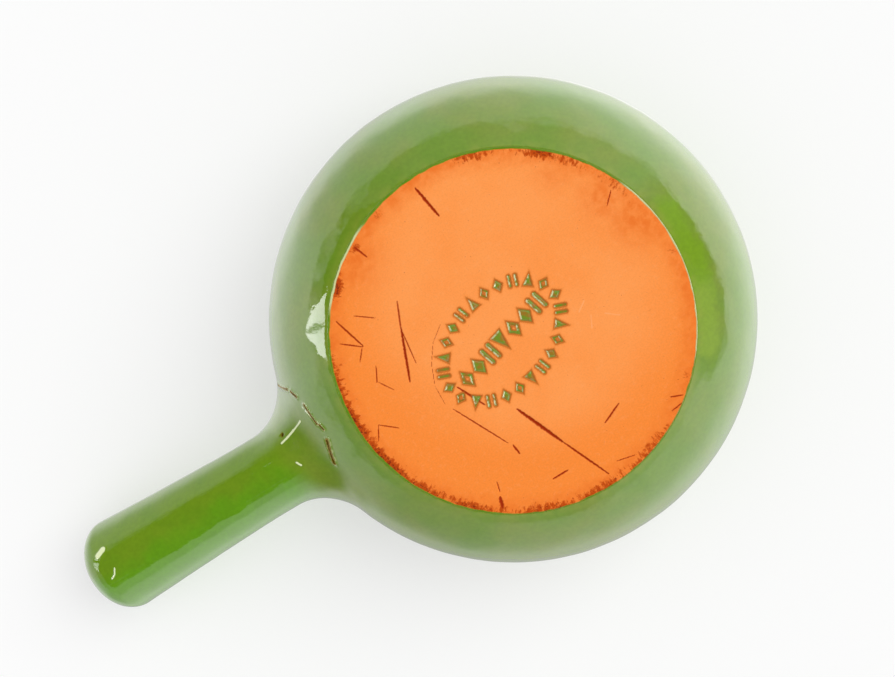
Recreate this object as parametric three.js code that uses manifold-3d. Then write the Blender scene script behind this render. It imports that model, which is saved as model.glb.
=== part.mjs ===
// A squat terracotta saucepan with one straight hollow handle. It is glazed green inside and
// out, apart from its flat base. Millimetres, +Z up to the mouth, +X along the handle, and the
// origin at the centre of the unglazed base.
import * as THREE from 'three';
import { mergeVertices } from 'three/addons/utils/BufferGeometryUtils.js';
import Module from 'manifold-3d';

// Pot
const bellyRadius = 100; // widest radius, over the glaze
const bellyHeight = 42; // height of the widest circle
const footRadius = 72; // bare disc that the pot stands on
const potHeight = 84; // to the crown of the rim, over the glaze
const shoulderArcRadius = 70; // curve of the wall from the belly to the rim, over the glaze
const wallThickness = 6.4;
const floorThickness = 7;

// Glaze and the seats between pieces
const glazeThickness = 0.6;
const seatGap = 0.3; // clearance between pieces that touch
const beadRadius = 1.1; // rolled edge where the glaze stops round the base
const beadLift = 0.25; // height of the glaze edge above the resting plane

// Handle, measured along its own axis from the belly, with radii over the glaze
const handleHeight = 37; // height of its axis where it leaves the belly
const handleTilt = THREE.MathUtils.degToRad(15); // rise towards the tip
const gripLength = 115.2;
const gripRootRadius = 17.1;
const gripEndRadius = 20.4;
const taperStart = 22; // where the grip starts to widen
const tipLength = 13.6; // rounded end
const swellPower = 1.3; // how gently the widening begins
const handleWall = 6;
const tipWall = 8;
const slipThickness = 0.8; // slip that lutes the handle to the wall

// Hollow curves where the handle's foot spreads over the wall
const sideFilletRadius = 26;
const upperFilletRadius = 14;
const lowerFilletRadius = 32;

// Vent that let the air out of the hollow handle in the kiln
const ventRadius = 0.9;
const ventDistance = -0.3; // from the belly, along the handle
const ventAngle = THREE.MathUtils.degToRad(-43); // round the handle, from +Y

// Fineness of the facets
const potSegments = 48;
const handleSegments = 32;
const footArcSteps = 7;
const shoulderArcSteps = 4;
const lipSteps = 6;
const filletSteps = 6;
const gripSteps = 4;
const tipSteps = 5;
const beadSegments = 8;
const ventSegments = 12;
const bisectionSteps = 40;
const searchSteps = 60;

const weldDistance = 1e-4; // vertices closer than this are one vertex
const overrun = 5; // how far cuts pass what they cut

// Worked out from the sizes above
const coat = seatGap + glazeThickness;
const lipRadius = wallThickness / 2;
const footInset = bellyRadius - footRadius;
const footArcRadius = (footInset ** 2 + bellyHeight ** 2) / (2 * footInset);
const footArcCentre = bellyRadius - footArcRadius;
const shoulderArcCentre = bellyRadius - shoulderArcRadius;
const clayFootArc = footArcRadius - coat;
const clayShoulderArc = shoulderArcRadius - coat;
const lipHeight = potHeight - coat - lipRadius;
const lipAngle = Math.asin((lipHeight - bellyHeight) / (clayShoulderArc - lipRadius));
const lipCentre = shoulderArcCentre + (clayShoulderArc - lipRadius) * Math.cos(lipAngle);
const clayRootRadius = gripRootRadius - coat;

const wasm = await Module();
wasm.setup();

// A geometry as a manifold solid, without the flat triangles that a pole leaves
function solidOf(geometry) {
  const bare = geometry.clone();
  bare.deleteAttribute('normal');
  bare.deleteAttribute('uv');
  const welded = mergeVertices(bare, weldDistance);
  const corners = [];
  for (let i = 0; i < welded.index.count; i += 3) {
    const [a, b, c] = [0, 1, 2].map((k) => welded.index.getX(i + k));
    if (a !== b && b !== c && c !== a) corners.push(a, b, c);
  }
  return new wasm.Manifold(new wasm.Mesh({
    numProp: 3,
    vertProperties: new Float32Array(welded.attributes.position.array),
    triVerts: new Uint32Array(corners),
  }));
}

// A manifold solid as a geometry
function geometryOf(solid) {
  const cut = solid.getMesh();
  const geometry = new THREE.BufferGeometry();
  geometry.setAttribute('position', new THREE.BufferAttribute(new Float32Array(cut.vertProperties), 3));
  geometry.setIndex(new THREE.BufferAttribute(new Uint32Array(cut.triVerts), 1));
  geometry.computeVertexNormals();
  return geometry;
}

// Points of an arc in a half section, as radius and height
function arc(radius, height, size, from, to, steps) {
  const points = [];
  for (let i = 0; i <= steps; i += 1) {
    const angle = from + ((to - from) * i) / steps;
    points.push(new THREE.Vector2(radius + size * Math.cos(angle), height + size * Math.sin(angle)));
  }
  return points;
}

// A half section turned round +Z
function turned(points, segments) {
  return new THREE.LatheGeometry(points, segments).rotateX(Math.PI / 2);
}

// Outside of the pot, grown by a distance, from the edge of the foot up to the lip
function outerWall(grow) {
  const footArc = clayFootArc + grow;
  const edge = footRadius + grow;
  const footAngle = -Math.acos((edge - footArcCentre) / footArc);
  return [
    ...arc(footArcCentre, bellyHeight, footArc, footAngle, 0, footArcSteps),
    ...arc(shoulderArcCentre, bellyHeight, clayShoulderArc + grow, 0, lipAngle, shoulderArcSteps).slice(1),
  ];
}

// Inside of the pot, grown into the hollow by a distance, from the lip down to the floor
function innerWall(grow) {
  const footArc = clayFootArc - wallThickness - grow;
  const shoulderArc = clayShoulderArc - wallThickness - grow;
  const floor = floorThickness + grow;
  const floorAngle = -Math.asin(Math.min(1, (bellyHeight - floor) / footArc));
  return [
    ...arc(shoulderArcCentre, bellyHeight, shoulderArc, lipAngle, 0, shoulderArcSteps).slice(1),
    ...arc(footArcCentre, bellyHeight, footArc, 0, floorAngle, footArcSteps).slice(1),
    new THREE.Vector2(0, floor),
  ];
}

// The pot as if it were full to its crown, grown by a distance, standing at a given height
function fullPot(grow, bottom) {
  const crown = arc(lipCentre, lipHeight, lipRadius + grow, lipAngle, Math.PI / 2, lipSteps / 2);
  return turned([
    new THREE.Vector2(0, bottom),
    new THREE.Vector2(footRadius + grow, bottom),
    ...outerWall(grow),
    ...crown.slice(1),
    new THREE.Vector2(0, lipHeight + lipRadius + grow),
  ], potSegments);
}

// Thrown clay pot with a half-round lip
function potBody() {
  return turned([
    new THREE.Vector2(0, 0),
    new THREE.Vector2(footRadius, 0),
    ...outerWall(0),
    ...arc(lipCentre, lipHeight, lipRadius, lipAngle, lipAngle + Math.PI, lipSteps).slice(1),
    ...innerWall(0),
  ], potSegments);
}

// Glaze coat inside the pot, from the crown of the rim down over the floor
function insideCoat() {
  const skin = (grow) => {
    const size = lipRadius + grow;
    const crownAngle = Math.PI / 2 + Math.asin(seatGap / 2 / size);
    return [
      ...arc(lipCentre, lipHeight, size, crownAngle, lipAngle + Math.PI, lipSteps / 2),
      ...innerWall(grow),
    ];
  };
  return turned([...skin(seatGap).reverse(), ...skin(coat)], potSegments);
}

// Radius of the clay pot, grown by a distance, at a height
function potRadiusAt(height, grow) {
  const below = height < bellyHeight;
  const size = (below ? clayFootArc : clayShoulderArc) + grow;
  const centre = below ? footArcCentre : shoulderArcCentre;
  return centre + Math.sqrt(Math.max(0, size ** 2 - (height - bellyHeight) ** 2));
}

// The handle's own frame: its axis starts below the belly and runs along its +X
const handleFrame = new THREE.Group();
handleFrame.position.set(bellyRadius, 0, handleHeight);
handleFrame.rotation.y = -handleTilt;
handleFrame.updateMatrix();
const intoHandle = handleFrame.matrix.clone().invert();

// Where a line along the handle, at an angle and distance from its axis, meets the pot
function wallReach(angle, away) {
  const start = new THREE.Vector3(0, away * Math.cos(angle), away * Math.sin(angle));
  let [inside, outside] = [-bellyRadius, bellyRadius];
  for (let i = 0; i < bisectionSteps; i += 1) {
    const middle = (inside + outside) / 2;
    const point = start.clone().setX(middle).applyMatrix4(handleFrame.matrix);
    const isOutside = Math.hypot(point.x, point.y) > potRadiusAt(point.z, 0);
    [inside, outside] = isOutside ? [inside, middle] : [middle, outside];
  }
  return inside;
}

// How far from the handle's axis, at an angle round it, the wall goes on before the pot's foot
function wallEnd(angle, limit) {
  let [onWall, past] = [clayRootRadius, limit];
  for (let i = 0; i < bisectionSteps; i += 1) {
    const middle = (onWall + past) / 2;
    const point = new THREE.Vector3(wallReach(angle, middle), middle * Math.cos(angle), middle * Math.sin(angle));
    if (point.applyMatrix4(handleFrame.matrix).z > 0) onWall = middle;
    else past = middle;
  }
  return onWall;
}

// Hollow curve between the pot and the handle in the plane at an angle round the handle: the
// centre of its arc, its size at the clay and the angle at which it meets the wall
function footFillet(angle) {
  const lift = Math.sin(angle);
  const endRadius = lift > 0 ? upperFilletRadius : lowerFilletRadius;
  const size = sideFilletRadius + (endRadius - sideFilletRadius) * lift ** 2 + coat;
  const away = clayRootRadius + size;
  const centreFor = (distance) => wallReach(angle, distance) + Math.sqrt(size ** 2 - (away - distance) ** 2);
  let [near, far] = [clayRootRadius, wallEnd(angle, away)];
  for (let i = 0; i < searchSteps; i += 1) {
    const third = (far - near) / 3;
    if (centreFor(near + third) < centreFor(far - third)) near += third;
    else far -= third;
  }
  return { along: centreFor(near), away, size, wallAngle: Math.PI + Math.asin((away - near) / size) };
}

const footFillets = [];
for (let i = 0; i < handleSegments; i += 1) {
  footFillets.push(footFillet((2 * Math.PI * i) / handleSegments));
}

// Radius of the clay grip at a distance along it
function gripRadiusAt(along) {
  const share = Math.max(0, along - taperStart) / (gripLength - tipLength - taperStart);
  return clayRootRadius + (gripEndRadius - gripRootRadius) * share ** swellPower;
}

// The handle grown by a distance, as a loft whose foot spreads over the wall and runs on into
// it, in the handle's frame
function handleLoft(grow) {
  const rings = [[], []];
  for (let i = 0; i <= filletSteps; i += 1) rings.push([]);
  const place = (ring, along, away, angle) => {
    ring.push(along, away * Math.cos(angle), away * Math.sin(angle));
  };
  const fullLength = gripLength - tipLength;
  footFillets.forEach((fillet, k) => {
    const angle = (2 * Math.PI * k) / handleSegments;
    const size = fillet.size - grow;
    const points = arc(fillet.along, fillet.away, size, fillet.wallAngle, 1.5 * Math.PI, filletSteps);
    place(rings[0], points[0].x - overrun, points[0].y / 2, angle);
    place(rings[1], points[0].x - overrun, points[0].y, angle);
    points.forEach((point, i) => place(rings[i + 2], point.x, point.y, angle));
  });
  const circle = (along, away) => {
    const ring = [];
    for (let k = 0; k < handleSegments; k += 1) place(ring, along, away, (2 * Math.PI * k) / handleSegments);
    rings.push(ring);
  };
  for (let i = 0; i <= gripSteps; i += 1) {
    const along = taperStart + ((fullLength - taperStart) * i) / gripSteps;
    circle(along, gripRadiusAt(along) + grow);
  }
  const tip = tipLength - coat + grow;
  for (let i = 1; i < tipSteps; i += 1) {
    const turn = (Math.PI / 2) * (i / tipSteps);
    circle(fullLength + tip * Math.sin(turn), (gripRadiusAt(fullLength) + grow) * Math.cos(turn));
  }
  const positions = rings.flat();
  const rootPole = positions.length / 3;
  positions.push(rings[0][0], 0, 0, fullLength + tip, 0, 0);
  const corners = [];
  for (let k = 0; k < handleSegments; k += 1) {
    const next = (k + 1) % handleSegments;
    for (let ring = 0; ring < rings.length - 1; ring += 1) {
      const row = ring * handleSegments;
      const above = row + handleSegments;
      corners.push(row + k, row + next, above + k, row + next, above + next, above + k);
    }
    const lastRow = (rings.length - 1) * handleSegments;
    corners.push(rootPole, next, k, rootPole + 1, lastRow + k, lastRow + next);
  }
  const geometry = new THREE.BufferGeometry();
  geometry.setAttribute('position', new THREE.Float32BufferAttribute(positions, 3));
  geometry.setIndex(corners);
  return geometry;
}

// Hollow of the handle, from inside the pot's wall to the thick tip, in the handle's frame
function handleHollow() {
  const end = gripLength - tipWall;
  const straightEnd = gripLength - tipLength;
  const points = [new THREE.Vector2(0, -overrun - wallThickness)];
  points.push(new THREE.Vector2(clayRootRadius - handleWall, -overrun - wallThickness));
  for (let i = 0; i <= gripSteps; i += 1) {
    const along = taperStart + ((straightEnd - taperStart) * i) / gripSteps;
    points.push(new THREE.Vector2(gripRadiusAt(along) - handleWall, along));
  }
  const endRadius = gripRadiusAt(straightEnd) - handleWall;
  for (let i = 1; i <= tipSteps; i += 1) {
    const turn = (Math.PI / 2) * (i / tipSteps);
    points.push(new THREE.Vector2(endRadius * Math.cos(turn), straightEnd + (end - straightEnd) * Math.sin(turn)));
  }
  return new THREE.LatheGeometry(points, handleSegments).rotateZ(-Math.PI / 2);
}

// Pin that cuts the vent from the hollow out through clay and glaze, in the handle's frame
function ventPin() {
  const length = clayRootRadius + lowerFilletRadius;
  return new THREE.CylinderGeometry(ventRadius, ventRadius, length, ventSegments)
    .translate(0, length / 2, 0)
    .rotateX(ventAngle)
    .translate(ventDistance, 0, 0);
}

// A solid of the pot's frame, moved into the handle's frame or back
function moved(geometry, matrix) {
  return geometry.clone().applyMatrix4(matrix);
}

const hollow = solidOf(handleHollow());
const vent = solidOf(ventPin());
const handleClay = solidOf(handleLoft(0));

// Clay handle: its foot is a saddle that sits on the slip
function handlePiece() {
  const seat = solidOf(moved(fullPot(slipThickness + 2 * seatGap, -overrun), intoHandle));
  return geometryOf(handleClay.subtract(seat).subtract(hollow).subtract(vent));
}

// Layer of slip between the wall and the foot of the handle
function slipPiece() {
  const wall = solidOf(moved(fullPot(seatGap, -overrun), intoHandle));
  const top = solidOf(moved(fullPot(seatGap + slipThickness, -overrun), intoHandle));
  return geometryOf(handleClay.intersect(top).subtract(wall).subtract(hollow).subtract(vent));
}

// Glaze coat over the outside of the pot and the handle: it stops in a bead round the base
function outsideCoat() {
  const handleAt = (grow) => solidOf(moved(handleLoft(grow), handleFrame.matrix));
  const bead = solidOf(turned(
    arc(footRadius + seatGap + beadRadius, beadLift + beadRadius, beadRadius, 0, 2 * Math.PI, beadSegments),
    potSegments,
  ));
  const outside = solidOf(fullPot(coat, beadLift)).add(handleAt(coat)).add(bead);
  const inside = solidOf(fullPot(seatGap, -overrun)).add(handleAt(seatGap));
  const mouthRadius = lipCentre + seatGap / 2;
  const mouth = solidOf(new THREE.CylinderGeometry(mouthRadius, mouthRadius, 2 * overrun, potSegments)
    .rotateX(Math.PI / 2)
    .translate(0, 0, potHeight));
  const ventHole = solidOf(moved(ventPin(), handleFrame.matrix));
  return geometryOf(outside.subtract(inside).subtract(mouth).subtract(ventHole));
}

const clay = { roughness: 0.85, metalness: 0 };
const gloss = { roughness: 0.15, metalness: 0 };
const terracotta = new THREE.MeshStandardMaterial({ color: 0xf6924c, ...clay });
const handleTerracotta = new THREE.MeshStandardMaterial({ color: 0xf08c48, ...clay });
const slipClay = new THREE.MeshStandardMaterial({ color: 0xd9763a, ...clay });
const outsideGreen = new THREE.MeshStandardMaterial({ color: 0x6f9a33, ...gloss });
const insideGreen = new THREE.MeshStandardMaterial({ color: 0x7da24a, ...gloss });

function named(name, geometry, material) {
  const mesh = new THREE.Mesh(geometry, material);
  mesh.name = name;
  return mesh;
}

const pot = new THREE.Group();
pot.add(named('pot_body', potBody(), terracotta));
pot.add(named('glaze_outside', outsideCoat(), outsideGreen));
pot.add(named('glaze_inside', insideCoat(), insideGreen));
handleFrame.add(named('handle', handlePiece(), handleTerracotta));
handleFrame.add(named('luting_slip', slipPiece(), slipClay));
pot.add(handleFrame);

export default pot;
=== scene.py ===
import math

import bpy
import numpy as np
from mathutils import Matrix, Vector
from mathutils.bvhtree import BVHTree
from mathutils.geometry import delaunay_2d_cdt

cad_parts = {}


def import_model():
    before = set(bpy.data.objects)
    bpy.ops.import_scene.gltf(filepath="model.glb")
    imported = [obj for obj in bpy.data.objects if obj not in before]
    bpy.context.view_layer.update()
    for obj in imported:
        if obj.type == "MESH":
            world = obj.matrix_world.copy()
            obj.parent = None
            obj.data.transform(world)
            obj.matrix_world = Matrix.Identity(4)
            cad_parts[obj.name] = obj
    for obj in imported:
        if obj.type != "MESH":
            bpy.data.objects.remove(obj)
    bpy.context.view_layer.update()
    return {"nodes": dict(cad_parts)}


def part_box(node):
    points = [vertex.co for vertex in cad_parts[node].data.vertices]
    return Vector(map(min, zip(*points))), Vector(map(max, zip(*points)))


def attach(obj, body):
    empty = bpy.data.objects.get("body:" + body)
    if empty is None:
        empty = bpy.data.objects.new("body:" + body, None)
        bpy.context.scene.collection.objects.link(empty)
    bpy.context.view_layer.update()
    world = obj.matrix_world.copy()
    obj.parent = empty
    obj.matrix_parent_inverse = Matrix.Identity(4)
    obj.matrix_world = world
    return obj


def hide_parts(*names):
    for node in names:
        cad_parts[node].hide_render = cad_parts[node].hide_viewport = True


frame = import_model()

MM = 0.001

# Pot, over the glaze
BELLY_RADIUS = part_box("glaze_outside")[1].y / MM
POT_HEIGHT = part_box("glaze_inside")[1].z / MM
BELLY_HEIGHT = 42.0
FOOT_RADIUS = 72.0
SHOULDER_ARC = 70.0
WALL = 6.4
FLOOR = 7.0

# Glaze
COAT = 0.9  # from the clay to the outside of the glaze
GAP = 0.3  # from the clay to the back of the glaze
BEAD_RADIUS = 1.1
BEAD_CENTRE = 72.0  # its lowest circle, where the glaze goes on as a film over the clay

# Handle, over the glaze
HANDLE_HEIGHT = 37.0  # of its axis where it leaves the belly
TILT = math.radians(15)
GRIP_LENGTH = 115.2
GRIP_ROOT_RADIUS = 17.1
GRIP_END_RADIUS = 20.4
TAPER_START = 22.0
TIP_LENGTH = 13.6
SWELL_POWER = 1.3
SIDE_FILLET = 26.0
UPPER_FILLET = 14.0
LOWER_FILLET = 32.0

# Worked out from the sizes above
LIP_RADIUS = WALL / 2
FOOT_ARC = ((BELLY_RADIUS - FOOT_RADIUS) ** 2 + BELLY_HEIGHT ** 2) / (2 * (BELLY_RADIUS - FOOT_RADIUS))
FOOT_CENTRE = BELLY_RADIUS - FOOT_ARC
BEAD_HEIGHT = BELLY_HEIGHT - math.sqrt((FOOT_ARC - BEAD_RADIUS) ** 2 - (BEAD_CENTRE - FOOT_CENTRE) ** 2)
BEAD_LIFT = BEAD_HEIGHT - BEAD_RADIUS
WALL_START = math.atan2(BEAD_HEIGHT - BELLY_HEIGHT, BEAD_CENTRE - FOOT_CENTRE)
SHOULDER_CENTRE = BELLY_RADIUS - SHOULDER_ARC
LIP_HEIGHT = POT_HEIGHT - COAT - LIP_RADIUS
LIP_ANGLE = math.asin((LIP_HEIGHT - BELLY_HEIGHT) / (SHOULDER_ARC - COAT - LIP_RADIUS))
LIP_CENTRE = SHOULDER_CENTRE + (SHOULDER_ARC - COAT - LIP_RADIUS) * math.cos(LIP_ANGLE)
FULL_LENGTH = GRIP_LENGTH - TIP_LENGTH
AXIS = np.array([math.cos(TILT), 0, math.sin(TILT)])
SIDE = np.array([0.0, 1.0, 0.0])
LIFT = np.array([-math.sin(TILT), 0, math.cos(TILT)])
ROOT = np.array([BELLY_RADIUS, 0, HANDLE_HEIGHT])

# Camera, and the photograph's frame
CAMERA_PLACE = np.array([-48.45, 70.64, -755.70])
CAMERA_AIM = np.array([22.33, 11.49, 0.0])
CAMERA_UP = np.array([-0.5347, 0.8371, 0.1156])
LENS = 78.64
SENSOR = 36.0
FRAME_WIDTH = 895
FRAME_HEIGHT = 677


def unit(vector):
    return vector / np.linalg.norm(vector)


CAMERA_VIEW = unit(CAMERA_AIM - CAMERA_PLACE)
CAMERA_RIGHT = unit(np.cross(CAMERA_VIEW, CAMERA_UP))
CAMERA_TOP = np.cross(CAMERA_RIGHT, CAMERA_VIEW)


def pixel_ray(x, y):
    """Direction from the camera through a pixel of the photograph."""
    focus = LENS / SENSOR * FRAME_WIDTH
    right = (x - FRAME_WIDTH / 2) / focus
    top = (FRAME_HEIGHT / 2 - y) / focus
    return unit(CAMERA_VIEW + right * CAMERA_RIGHT + top * CAMERA_TOP)


def on_base(x, y):
    """Where a pixel of the photograph lies on the plane of the base."""
    ray = pixel_ray(x, y)
    return (CAMERA_PLACE - ray * CAMERA_PLACE[2] / ray[2])[:2]


# Noise
AXIS_FACTORS = (73856093, 19349663, 83492791)
SEED_FACTOR = 2654435761
MIX_FACTOR = 1274126177
NOISE_GAIN = 1.7  # brings it to about -1 to 1


def lattice_gradient(cell, seed):
    """A repeatable direction for each corner of a lattice."""
    mixed = np.full(len(cell), seed * SEED_FACTOR)
    for axis, factor in enumerate(AXIS_FACTORS):
        mixed ^= cell[:, axis] * factor
    mixed = (mixed ^ (mixed >> 13)) * MIX_FACTOR
    mixed = (mixed ^ (mixed >> 16)) & 0xFFFFFF
    around = (mixed & 0xFFF) / 4096 * 2 * np.pi
    height = (mixed >> 12) / 4096 * 2 - 1
    level = np.sqrt(1 - height ** 2)
    return np.stack([level * np.cos(around), level * np.sin(around), height], 1)


def noise(points, size, seed):
    """Smooth noise of about -1 to 1 whose bumps are as wide as size, at places in space or on the base."""
    if points.shape[1] == 2:
        points = np.column_stack([points, np.zeros(len(points))])
    place = points / size
    cell = np.floor(place).astype(np.int64)
    part = place - cell
    fade = part ** 3 * (part * (part * 6 - 15) + 10)
    total = np.zeros(len(points))
    for corner in np.ndindex(2, 2, 2):
        corner = np.array(corner)
        dot = (lattice_gradient(cell + corner, seed) * (part - corner)).sum(1)
        total += dot * np.prod(np.where(corner, fade, 1 - fade), axis=1)
    return total * NOISE_GAIN


def waves(points, parts):
    """Noises added up. Each part is a height, a size and a seed."""
    return sum(height * noise(points, size, seed) for height, size, seed in parts)


def smooth(low, high, value):
    share = np.clip((value - low) / (high - low), 0, 1)
    return share * share * (3 - 2 * share)


def segment_distance(points, start, end):
    """Distance from points to a segment, and how far along it the nearest place is, as a share."""
    line = end - start
    share = np.clip(((points - start) @ line) / (line @ line), 0, 1)
    return np.linalg.norm(points - start - share[:, None] * line, axis=1), share


def level_radius(points):
    """Distance from the pot's axis."""
    return np.hypot(points[:, 0], points[:, 1])


# Surfaces of the pot and the handle at a distance from the clay
SEARCH_STEPS = 40


def pot_radius(height, grow):
    below = height < BELLY_HEIGHT
    size = np.where(below, FOOT_ARC, SHOULDER_ARC) - COAT + grow
    centre = np.where(below, FOOT_CENTRE, SHOULDER_CENTRE)
    return centre + np.sqrt(np.maximum(0, size ** 2 - (height - BELLY_HEIGHT) ** 2))


def in_handle(along, away, angle):
    """Points of the handle's own frame in the frame of the pot."""
    across = np.cos(angle)[:, None] * SIDE + np.sin(angle)[:, None] * LIFT
    return ROOT + along[:, None] * AXIS + away[:, None] * across


def bisect(inner, outer, is_inner):
    """Where a test that holds at the inner ends stops holding on the way to the outer ones."""
    for _ in range(SEARCH_STEPS):
        middle = (inner + outer) / 2
        holds = is_inner(middle)
        inner = np.where(holds, middle, inner)
        outer = np.where(holds, outer, middle)
    return inner


def wall_reach(angle, away, grow):
    """Where lines along the handle meet the wall of the pot."""

    def is_inside(along):
        point = in_handle(along, away, angle)
        return level_radius(point) <= pot_radius(point[:, 2], grow)

    far = np.full(len(angle), BELLY_RADIUS)
    return bisect(-far, far, is_inside)


def wall_end(angle, limit, grow):
    """How far from the handle's axis the wall goes on before the pot's foot."""

    def is_on_wall(away):
        return in_handle(wall_reach(angle, away, grow), away, angle)[:, 2] > 0

    return bisect(np.full(len(angle), GRIP_ROOT_RADIUS), limit, is_on_wall)


def foot_fillets(angle, grow):
    """Hollow curve at each angle round the handle: its centre, its size and where it meets the wall."""
    lift = np.sin(angle)
    end = np.where(lift > 0, UPPER_FILLET, LOWER_FILLET)
    size = SIDE_FILLET + (end - SIDE_FILLET) * lift ** 2 + COAT - grow
    root = GRIP_ROOT_RADIUS - COAT + grow
    away = root + size

    def centre(distance):
        return wall_reach(angle, distance, grow) + np.sqrt(np.maximum(0, size ** 2 - (away - distance) ** 2))

    near = np.full(len(angle), root)
    far = wall_end(angle, away, grow)
    for _ in range(SEARCH_STEPS):
        third = (far - near) / 3
        rises = centre(near + third) < centre(far - third)
        near = np.where(rises, near + third, near)
        far = np.where(rises, far, far - third)
    return centre(near), away, size, near


def grip_radius(along, grow):
    share = np.maximum(0, along - TAPER_START) / (FULL_LENGTH - TAPER_START)
    return GRIP_ROOT_RADIUS - COAT + grow + (GRIP_END_RADIUS - GRIP_ROOT_RADIUS) * share ** SWELL_POWER


# Meshes

class Shell:
    """Points and faces of a closed piece, gathered from grids."""

    def __init__(self):
        self.points = []
        self.faces = []
        self.count = 0

    def add(self, points):
        """Adds points and gives back their numbers."""
        self.points.append(np.asarray(points, float))
        first = self.count
        self.count += len(points)
        return np.arange(first, self.count)

    def strip(self, lower, upper, closed=True):
        """Joins two rows of as many points with faces."""
        if closed:
            lower, upper = np.append(lower, lower[0]), np.append(upper, upper[0])
        self.faces.append(np.stack([lower[:-1], lower[1:], upper[1:], upper[:-1]], 1))

    def grid(self, rows):
        """Joins each row to the next."""
        for lower, upper in zip(rows, rows[1:]):
            self.strip(lower, upper)

    def fan(self, row, tip):
        around = np.append(row, row[0])
        self.faces.append(np.stack([around[:-1], around[1:], np.full(len(row), tip)], 1))

    def place(self):
        return np.concatenate(self.points)


def add_object(name, data):
    made = bpy.data.objects.new(name, data)
    bpy.context.scene.collection.objects.link(made)
    return made


def piece_from(name, points, faces, layers, material, replaced):
    """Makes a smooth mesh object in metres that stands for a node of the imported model."""
    mesh = bpy.data.meshes.new(name)
    mesh.from_pydata((points * MM).tolist(), [], [f for block in faces for f in block.tolist()])
    for layer, values in layers.items():
        attribute = mesh.attributes.new(layer, "FLOAT", "POINT")
        attribute.data.foreach_set("value", np.asarray(values, np.float32))
    mesh.polygons.foreach_set("use_smooth", np.ones(len(mesh.polygons), bool))
    mesh.validate()
    mesh.update()
    mesh.materials.append(material)
    obj = add_object(name, mesh)
    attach(obj, "root")
    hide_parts(replaced)


def vertex_normals(points, faces):
    """Normals at the points of blocks of triangles and quads."""
    halves = ([0, 1, 2], [0, 2, 3])
    corners = np.concatenate([block[:, half] for block in faces for half in halves[:block.shape[1] - 2]])
    a, b, c = (points[corners[:, k]] for k in range(3))
    across = np.cross(b - a, c - a)
    normals = np.zeros_like(points)
    for k in range(3):
        np.add.at(normals, corners[:, k], across)
    return normals / np.maximum(np.linalg.norm(normals, axis=1), 1e-12)[:, None]


def arc_points(centre, height, size, start, end, steps, skip=0):
    angle = np.linspace(start, end, steps + 1)[skip:]
    return np.stack([centre + size * np.cos(angle), height + size * np.sin(angle)], 1)


def turned(profile, columns):
    """Rows of points: a half section turned round +Z."""
    around = np.arange(columns) * 2 * np.pi / columns
    ring = np.stack([np.cos(around), np.sin(around), np.zeros(columns)], 1)
    return [radius * ring + (0, 0, height) for radius, height in profile]


# Outer glaze: the wall's grid has a window round the handle's foot, and rings run from the
# window's edge over the wall, the foot's hollow curve, the grip and the tip
COLUMNS = 480
WINDOW_COLUMNS = 36  # each side of the handle
WINDOW_LOW = 5.0
WINDOW_HIGH = 77.0
BEAD_STEPS = 4
OUTER_STEPS = (42, 34, 6)  # over the foot, the shoulder and the crown of the lip
OUTER_RINGS = (18, 36, 72, 18)  # over the wall, the hollow curve, the grip and the tip
BACK_STEPS = (8, 6, 3)
BACK_RINGS = (3, 6, 10, 5)
WALL_CROWDING = 1.4  # rings lie closer together where the hollow curve starts
FILLET_CROWDING = 1.25


def outer_profile(grow, steps, start=WALL_START, end=math.pi / 2):
    """Half section of the outside at a distance from the clay, from the foot to the lip."""
    foot_size = FOOT_ARC - COAT + grow
    shoulder_size = SHOULDER_ARC - COAT + grow
    return np.concatenate([
        arc_points(FOOT_CENTRE, BELLY_HEIGHT, foot_size, start, 0, steps[0]),
        arc_points(SHOULDER_CENTRE, BELLY_HEIGHT, shoulder_size, 0, LIP_ANGLE, steps[1], 1),
        arc_points(LIP_CENTRE, LIP_HEIGHT, LIP_RADIUS + grow, LIP_ANGLE, end, steps[2], 1),
    ])


def handle_rings(loop, grow, wall_rings, fillet_rings, grip_rings, tip_rings):
    """Rings from a loop of points on the wall to the handle's tip, and the point of the tip."""
    offset = loop - ROOT
    across, up = offset @ SIDE, offset @ LIFT
    angle, edge = np.arctan2(up, across), np.hypot(across, up)
    along, centre, size, near = foot_fillets(angle, grow)
    rings = []
    for i in range(1, wall_rings + 1):
        share = 1 - (1 - i / wall_rings) ** WALL_CROWDING
        away = edge + (near - edge) * share
        rings.append(in_handle(wall_reach(angle, away, grow), away, angle))
    start = np.pi + np.arcsin(np.clip((centre - near) / size, -1, 1))
    for i in range(1, fillet_rings + 1):
        turn = start + (1.5 * np.pi - start) * (i / fillet_rings) ** FILLET_CROWDING
        rings.append(in_handle(along + size * np.cos(turn), centre + size * np.sin(turn), angle))
    for i in range(1, grip_rings + 1):
        place = along + (FULL_LENGTH - along) * i / grip_rings
        rings.append(in_handle(place, grip_radius(place, grow), angle))
    tip = TIP_LENGTH - COAT + grow
    full = np.full(len(angle), FULL_LENGTH)
    for i in range(1, tip_rings):
        turn = np.pi / 2 * i / tip_rings
        rings.append(in_handle(full + tip * math.sin(turn), grip_radius(full, grow) * math.cos(turn), angle))
    return rings, ROOT + (FULL_LENGTH + tip) * AXIS


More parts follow.
